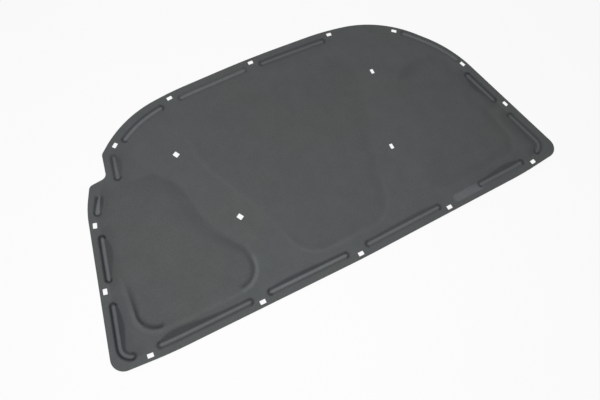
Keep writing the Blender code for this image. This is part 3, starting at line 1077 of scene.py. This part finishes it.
    def mesh(self) -> bpy.types.Mesh:
        """Works out the closed grid and puts it into a mesh.

        Returns:
            The mesh. Its rows are the underside's rings from the spine outwards, the edge's rings from low
            to high, and the upper face's rings inwards to the spine. A row's points are joined to the next
            row's, and the two spines close the grid.
        """
        under, low_spine = self.rings(self.under_insets, self.under_inner)
        over, high_spine = self.rings(self.over_insets, self.over_inner)
        count = self.around
        low = self.low_height(under.reshape(-1, 2)).reshape(len(under), count)
        high = self.relief(over.reshape(-1, 2))[0].reshape(len(over), count)
        drops = np.zeros(len(over))
        drops[1 : 1 + len(self.edge_drops)] = self.edge_drops
        edge = np.linspace(self.rim_underside, self.rim_top, self.edge_rows + 2)[1:-1]
        rows = [np.column_stack([ring, heights]) for ring, heights in zip(under[:0:-1], low[:0:-1])]
        rows += [np.column_stack([under[0], np.full(count, height)]) for height in edge]
        lowered = high - drops[:, None]
        rows += [np.column_stack([ring, heights]) for ring, heights in zip(over[1:], lowered[1:])]
        low_end = np.column_stack([low_spine, self.low_height(low_spine)])
        high_end = np.column_stack([high_spine, self.relief(high_spine)[0]])
        vertices = np.vstack([*rows, low_end, high_end])
        step = np.arange(count)
        fold = np.minimum(step, count - step)
        start = len(rows) * count
        table = np.arange(start).reshape(len(rows), count)
        table = np.vstack([start + fold, table, start + len(low_spine) + fold])
        mesh = new_mesh("pressed_felt_pad", vertices, quads(np.column_stack([table, table[:, 0]])))
        mesh.validate()
        return mesh

    def build(self, felt: bpy.types.Material) -> bpy.types.Object:
        """Builds the pad, punches its holes and dresses it.

        Args:
            felt: the pad's material.

        Returns:
            The finished pad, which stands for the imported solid.
        """
        pad = new_object("pressed_felt_pad", self.mesh())
        punches = ClipHoles(self.outline).punch(-self.punch_margin, self.field_top + self.punch_margin)
        cut = pad.modifiers.new("clip_holes", "BOOLEAN")
        cut.operation = "DIFFERENCE"
        cut.solver = "EXACT"
        cut.object = punches
        apply_modifiers(pad)
        bpy.data.objects.remove(punches, do_unlink=True)
        mesh = pad.data
        mesh.shade_smooth()
        mesh.set_sharp_from_angle(angle=math.radians(self.sharp))
        places = np.zeros(len(mesh.vertices) * 3)
        mesh.vertices.foreach_get("co", places)
        # Colour attributes: the pressing, which also carries the painted sheen and highlight, and the painted
        # shade.
        _, pressing, drawn = self.relief(places.reshape(-1, 3)[:, :2])
        for name, values in (("pressing", pressing), ("drawn", drawn)):
            attribute = mesh.attributes.new(name, "FLOAT", "POINT")
            attribute.data.foreach_set("value", values.astype(np.float32))
        mesh.materials.clear()
        mesh.materials.append(felt)
        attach(pad, "root")
        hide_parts(NODE)
        return pad


def apply_modifiers(piece: bpy.types.Object) -> None:
    """Replaces a piece's mesh by the mesh that its modifiers make."""
    graph = bpy.context.evaluated_depsgraph_get()
    made = bpy.data.meshes.new_from_object(piece.evaluated_get(graph))
    piece.modifiers.clear()
    piece.data = made


@dataclass
class Studio:
    """The table, the light and the camera.

    Attributes:
        table_half: half the size of the table's sheet of paper.
        table_points: how many points the sheet has along each side.
        table_drop: how far it lies under height nought, so that no face of the pad is in its plane.
        room: colour of the light that comes evenly from everywhere.
        ambient: brightness of that light.
        lamp: strength of the large soft lamp.
        lamp_tilt: how far the lamp leans from straight above, in degrees.
        lamp_turn: the direction that it leans towards, in degrees from +X.
        lamp_spread: how wide the lamp looks from the pad, in degrees.
        box_place: place of the softbox, which faces the pad's middle and lights its near left part most.
        box_size: size of the softbox.
        box_power: power of the softbox, in watts.
        backdrop: colour behind everything.
        camera_place: the camera's place.
        heading, dip, roll: the camera's turn from +Y towards +X, its angle below the horizon, and its roll.
        sensor: width of the camera's sensor, in millimetres.
        lens: the camera's focal length, in millimetres.
    """

    table_half: float = 6.0
    table_points: int = 9
    table_drop: float = 0.0002
    room: str = "#FFFFFF"
    ambient: float = 0.28
    lamp: float = 0.42
    lamp_tilt: float = 28.0
    lamp_turn: float = 130.0
    lamp_spread: float = 30.0
    box_place: Triple = (-0.52, -0.44, 1.5)
    box_size: float = 0.8
    box_power: float = 17.5
    backdrop: str = "#FBFBFA"
    camera_place: Triple = (-0.4498, -0.5505, 1.4518)
    heading: float = 41.103
    dip: float = 68.279
    roll: float = -13.836
    sensor: float = 36.0
    lens: float = 36.0

    def table(self, paper: bpy.types.Material) -> bpy.types.Object:
        """Lays the table's flat sheet of paper, a square grid.

        Args:
            paper: the paper's material.

        Returns:
            The floor.
        """
        marks = np.linspace(-self.table_half, self.table_half, self.table_points)
        across, along = np.meshgrid(marks, marks)
        points = np.column_stack([across.ravel(), along.ravel(), np.full(across.size, -self.table_drop)])
        mesh = new_mesh("paper_floor", points, quads(np.arange(across.size).reshape(across.shape)))
        mesh.materials.append(paper)
        floor = new_object("paper_floor", mesh)
        return floor

    def light(self) -> None:
        """Sets the even light of the room, and hangs the large soft lamp and the softbox."""
        world = bpy.data.worlds.new("white_room")
        world.use_nodes = True
        bpy.context.scene.world = world
        tree = world.node_tree
        tree.nodes.clear()
        lit, behind = (
            add_node(tree, "ShaderNodeBackground", {("Color",): linear(colour), ("Strength",): strength}, {})
            for colour, strength in ((self.room, self.ambient), (self.backdrop, 1.0))
        )
        skies = {0: seen_by_eye(tree), 1: lit.outputs["Background"], 2: behind.outputs["Background"]}
        mix = add_node(tree, "ShaderNodeMixShader", {}, skies)
        add_node(tree, "ShaderNodeOutputWorld", {}, {"Surface": mix.outputs["Shader"]})
        data = bpy.data.lights.new("soft_overhead_lamp", "SUN")
        data.energy = self.lamp
        data.angle = math.radians(self.lamp_spread)
        tilt, turn = math.radians(self.lamp_tilt), math.radians(self.lamp_turn)
        lamp = new_object("soft_overhead_lamp", data)
        lamp.matrix_world = Matrix.Rotation(turn, 4, "Z") @ Matrix.Rotation(tilt, 4, "Y")
        data = bpy.data.lights.new("side_softbox", "AREA")
        data.shape = "SQUARE"
        data.size = self.box_size
        data.energy = self.box_power
        place = Vector(self.box_place)
        box = new_object("side_softbox", data)
        box.matrix_world = Matrix.Translation(place) @ place.to_track_quat("Z", "Y").to_matrix().to_4x4()

    def camera(self) -> None:
        """Sets the camera where the photograph's camera stood.

        Its view direction comes from the heading and the dip, and its roll turns the picture.
        """
        turn, dip, roll = (math.radians(angle) for angle in (self.heading, self.dip, self.roll))
        ahead = np.array([math.sin(turn) * math.cos(dip), math.cos(turn) * math.cos(dip), -math.sin(dip)])
        right = np.array([math.cos(turn), -math.sin(turn), 0.0])
        down = np.cross(ahead, right)
        across = right * math.cos(roll) + down * math.sin(roll)
        under = down * math.cos(roll) - right * math.sin(roll)
        placing = np.eye(4)
        placing[:3, :3] = np.column_stack([across, -under, -ahead])
        placing[:3, 3] = self.camera_place
        data = bpy.data.cameras.new("photo_camera")
        data.sensor_width = self.sensor
        data.lens = self.lens
        camera = new_object("photo_camera", data)
        camera.matrix_world = Matrix(placing.tolist())
        bpy.context.scene.camera = camera


def main() -> None:
    """Builds the studio and the pad."""
    logging.basicConfig(level=logging.INFO, format="%(name)s: %(message)s")
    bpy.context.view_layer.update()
    bpy.context.scene.view_settings.view_transform = "Standard"
    studio = Studio()
    studio.camera()
    studio.light()
    floor = studio.table(TablePaper().build())
    LOG.info("%s is laid, and the lamps and the camera are set", floor.name)
    pad = InsulationPad().build(PressedFelt().build())
    LOG.info("%s has %d faces", pad.name, len(pad.data.polygons))


if __name__ == "__main__":
    main()
